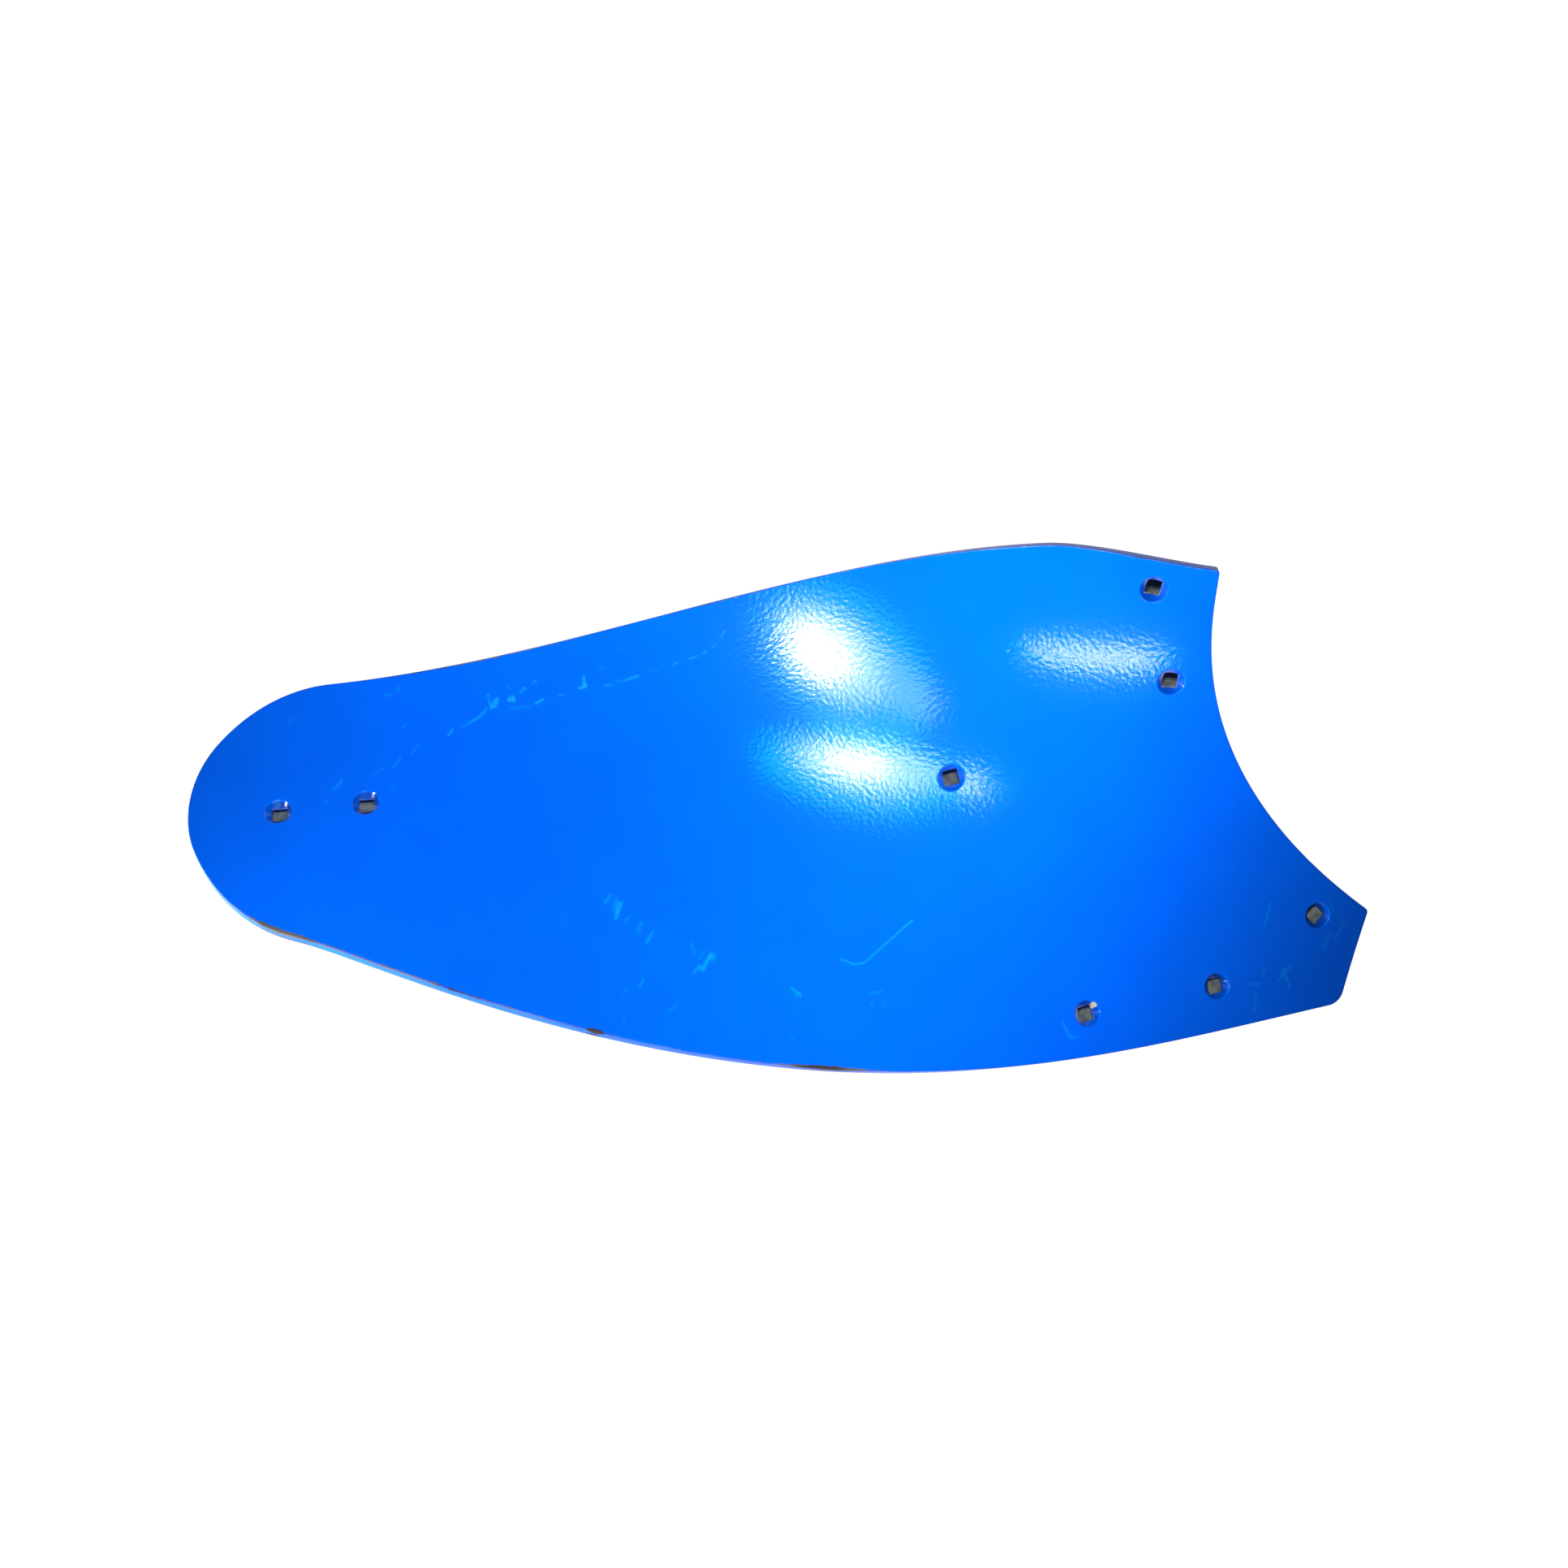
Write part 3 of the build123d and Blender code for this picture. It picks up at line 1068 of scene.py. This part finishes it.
@dataclass
class Studio:
    """Camera, lamps, floor and world."""

    form: PressedForm
    camera_height: float = 1700
    lens: float = 39.98
    floor_size: float = 12
    floor_grey: float = 0.8
    floor_glow: float = 0.75
    ground_radius: float = 42
    ground_margin: float = 4
    ground_sides: int = 32
    ground_lift: float = 0.5
    # Greys of the discs under the holes: the ground's colour, and also painted shade under the
    # plate.
    ground_and_shade_colour: Colour = (0.2, 0.225, 0.19, 1)
    ground_and_shade_dark: Colour = (0.11, 0.125, 0.105, 1)
    grit_scale: float = 160
    grit_fade: Pair = (0.35, 0.65)
    sun_count: int = 6
    sun_elevation: float = 28
    sun_power: float = 0.65
    sun_spread: float = 30
    world_light: float = 0.02
    lamps: tuple[Lamp, ...] = (
        Lamp("crest_window", Role.SHINE, (-682, -245, 2430), 450, 370, 0, 17),
        Lamp("crest_glow", Role.SHINE, (-630, -305, 2430), 820, 600, 0, 9.5),
        Lamp("crest_skirt", Role.SHINE, (-410, -490, 2430), 1000, 420, 163, 3.4),
        Lamp("crest_curtain", Role.SHINE, (-520, -350, 2430), 1300, 1000, 0, 13, CURTAIN),
        Lamp("middle_window", Role.SHINE, (68, 58, 2430), 400, 135, 126, 6.8),
        Lamp("middle_glow", Role.SHINE, (118, 22, 2430), 900, 350, 126, 8.4),
        Lamp("middle_curtain", Role.SHINE, (126, 90, 2430), 1240, 600, 126, 11, CURTAIN),
        Lamp("frog_glow", Role.SHINE, (540, -455, 2430), 210, 120, 126, 1.1),
        Lamp("frog_curtain", Role.SHINE, (560, -470, 2430), 420, 300, 126, 1, CURTAIN),
        Lamp("corner_window", Role.SHINE, (440, -1560, 1880), 920, 115, 150, 5.2),
        Lamp("corner_curtain", Role.SHINE, (440, -1560, 1880), 1100, 250, 150, 4.2, CURTAIN),
        Lamp("tail_window", Role.SHINE, (-2300, -500, 1350), 420, 300, 0, 20),
        Lamp("tail_side", Role.FILL, (-1300, -780, 470), 400, 400, 0, 44),
        Lamp("over_tail", Role.FILL, (-480, 20, 450), 400, 400, 0, 2.1),
        Lamp("over_middle", Role.FILL, (215, -35, 420), 400, 400, 0, 3.5),
        Lamp("over_holes", Role.GROUND, (0, 90, 1690), 60, 60, 0, 22),
    )

    def stand(self, point: tuple[float, float, float]) -> Vector:
        """Place in the row's frame of a point given in the pressing frame, in millimetres."""
        return self.form.place() + self.form.turn() @ (Vector(point) * MM)

    def add_camera(self) -> None:
        """Adds the camera, straight above the middle of the pressing frame."""
        camera = new_object("camera", bpy.data.cameras.new("camera"))
        camera.data.lens = self.lens
        eye = self.stand((0, 0, self.camera_height))
        camera.matrix_world = Matrix.Translation(eye) @ self.form.turn()
        bpy.context.scene.camera = camera

    def add_lamp(self, lamp: Lamp, only: bpy.types.Object) -> None:
        """Adds a lamp that faces the middle of the plate and lights one object only."""
        light = bpy.data.lights.new(lamp.name, "AREA")
        light.color = lamp.colour
        light.shape = "ELLIPSE"
        light.size = lamp.length * MM
        light.size_y = lamp.width * MM
        light.energy = lamp.power
        holder = new_object(lamp.name, light)
        holder.visible_camera = False
        holder.visible_diffuse = lamp.role is not Role.SHINE
        holder.visible_glossy = lamp.role is Role.SHINE
        light.cycles.use_multiple_importance_sampling = lamp.role is Role.SHINE
        away = Vector(lamp.place).normalized()
        across = Vector((0, 1, 0)).cross(away).normalized()
        along = Matrix.Rotation(math.radians(lamp.turn), 3, away) @ across
        facing = Matrix((along, away.cross(along), away)).transposed().to_4x4()
        place = Matrix.Translation(self.stand(lamp.place))
        holder.matrix_world = place @ self.form.turn() @ facing
        self.keep_to(holder, only)

    @staticmethod
    def keep_to(holder: bpy.types.Object, only: bpy.types.Object) -> None:
        """Keeps a lamp's light to one object."""
        receivers = bpy.data.collections.new(f"{holder.name}_lights")
        receivers.objects.link(only)
        holder.light_linking.receiver_collection = receivers

    def add_floor_light(self, floor: bpy.types.Object) -> None:
        """Adds low suns all round that light the floor alone, so it keeps a soft shadow."""
        for number in range(self.sun_count):
            light = bpy.data.lights.new(f"floor_sun_{number}", "SUN")
            light.energy = self.sun_power
            light.angle = math.radians(self.sun_spread)
            holder = new_object(light.name, light)
            azimuth = 2 * math.pi * number / self.sun_count
            lift = math.radians(self.sun_elevation)
            away = Vector((math.cos(azimuth), math.sin(azimuth), math.tan(lift)))
            holder.rotation_euler = away.to_track_quat("Z", "Y").to_euler()
            self.keep_to(holder, floor)

    def add_floor(self) -> bpy.types.Object:
        """Adds the pale floor."""
        mesh = bpy.data.meshes.new("floor")
        reach = self.floor_size / 2
        corners = [(-reach, -reach, 0), (reach, -reach, 0), (reach, reach, 0), (-reach, reach, 0)]
        mesh.from_pydata(corners, [], [(0, 1, 2, 3)])
        floor = new_object("floor", mesh)
        material, tree = new_material("pale_floor")
        grey = (self.floor_grey, self.floor_grey, self.floor_grey, 1)
        matt = tree.node("ShaderNodeBsdfDiffuse", {}, {"Color": grey})
        seen, mirrored, refracted = (
            tree.node("ShaderNodeLightPath", {}, (), f"Is {kind} Ray")
            for kind in ("Camera", "Glossy", "Transmission")
        )
        strength = (seen + mirrored + refracted) * self.floor_glow
        glow = tree.node("ShaderNodeEmission", {}, {"Color": WHITE, "Strength": strength})
        shader = tree.node("ShaderNodeAddShader", {}, (matt, glow))
        tree.node("ShaderNodeOutputMaterial", {}, {"Surface": shader})
        mesh.materials.append(material)
        return floor

    def add_ground(self, holes: Sequence[BoltHole], outline: np.ndarray) -> bpy.types.Object:
        """Adds discs of grey ground, partly painted shade, each where the camera looks through a
        bolt hole.

        Args:
            holes: The plate's bolt holes.
            outline: The plate's outline in plan, which the discs stay behind.

        Returns:
            The discs, which the plate hides but for what shows in the holes.
        """
        eye = self.stand((0, 0, self.camera_height))
        centres = np.array([hole.centre for hole in holes])
        gaps = nearest_gap(centres, outline) - self.ground_margin
        corners = []
        for hole, gap in zip(holes, gaps):
            x, y = hole.centre
            face_height = self.form.height(np.array([hole.centre]))[0]
            sight = self.stand((x, y, face_height - hole.thickness)) - eye
            centre = eye + sight * ((self.ground_lift * MM - eye.z) / sight.z)
            for angle in np.linspace(0, 2 * math.pi, self.ground_sides, endpoint=False):
                spoke = Vector((math.cos(angle), math.sin(angle), 0))
                corners.append(centre + spoke * min(self.ground_radius, gap) * MM)
        starts = range(0, len(corners), self.ground_sides)
        faces = [tuple(range(start, start + self.ground_sides)) for start in starts]
        mesh = bpy.data.meshes.new("ground")
        mesh.from_pydata(corners, [], faces)
        ground = new_object("ground", mesh)
        # The discs' dark grey is partly the ground's own colour and partly painted shade under the
        # plate.
        material, tree = new_material("grey_ground_and_painted_shade")
        place = tree.node("ShaderNodeTexCoord", {}, (), "Object")
        grit = tree.noise(place, self.grit_scale, detail=4).fade(*self.grit_fade)
        colour = tree.mix_colour(grit, self.ground_and_shade_dark, self.ground_and_shade_colour)
        matt = tree.node("ShaderNodeBsdfDiffuse", {}, {"Color": colour})
        tree.node("ShaderNodeOutputMaterial", {}, {"Surface": matt})
        mesh.materials.append(material)
        return ground

    def add_world(self) -> None:
        """Adds the world: white where the camera sees it, dim elsewhere."""
        world = bpy.data.worlds.new("world")
        bpy.context.scene.world = world
        world.use_nodes = True
        tree = NodeTree(world.node_tree)
        sees = tree.node("ShaderNodeLightPath", {}, (), "Is Camera Ray")
        strength = sees * (1 - self.world_light) + self.world_light
        shader = tree.node("ShaderNodeBackground", {}, {"Color": WHITE, "Strength": strength})
        tree.node("ShaderNodeOutputWorld", {}, {"Surface": shader})

    def build(self, plate: bpy.types.Object, board: Mouldboard) -> None:
        """Builds the whole studio round the plate, with grey ground under its holes that is also
        painted shade.
        """
        bpy.context.scene.view_settings.view_transform = "Standard"
        self.add_camera()
        self.add_floor_light(self.add_floor())
        self.add_world()
        ground = self.add_ground(board.holes, board.outline.points())
        for lamp in self.lamps:
            self.add_lamp(lamp, ground if lamp.role is Role.GROUND else plate)


def main() -> None:
    """Builds the plate and its studio, and logs the plate's face count."""
    logging.basicConfig(level=logging.INFO, format="%(name)s: %(message)s")
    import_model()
    board = Mouldboard()
    plate = board.press(BluePaint().material())
    LOG.info("%s: %d faces", plate.name, len(plate.data.polygons))
    Studio(board.form).build(plate, board)


if __name__ == "__main__":
    main()
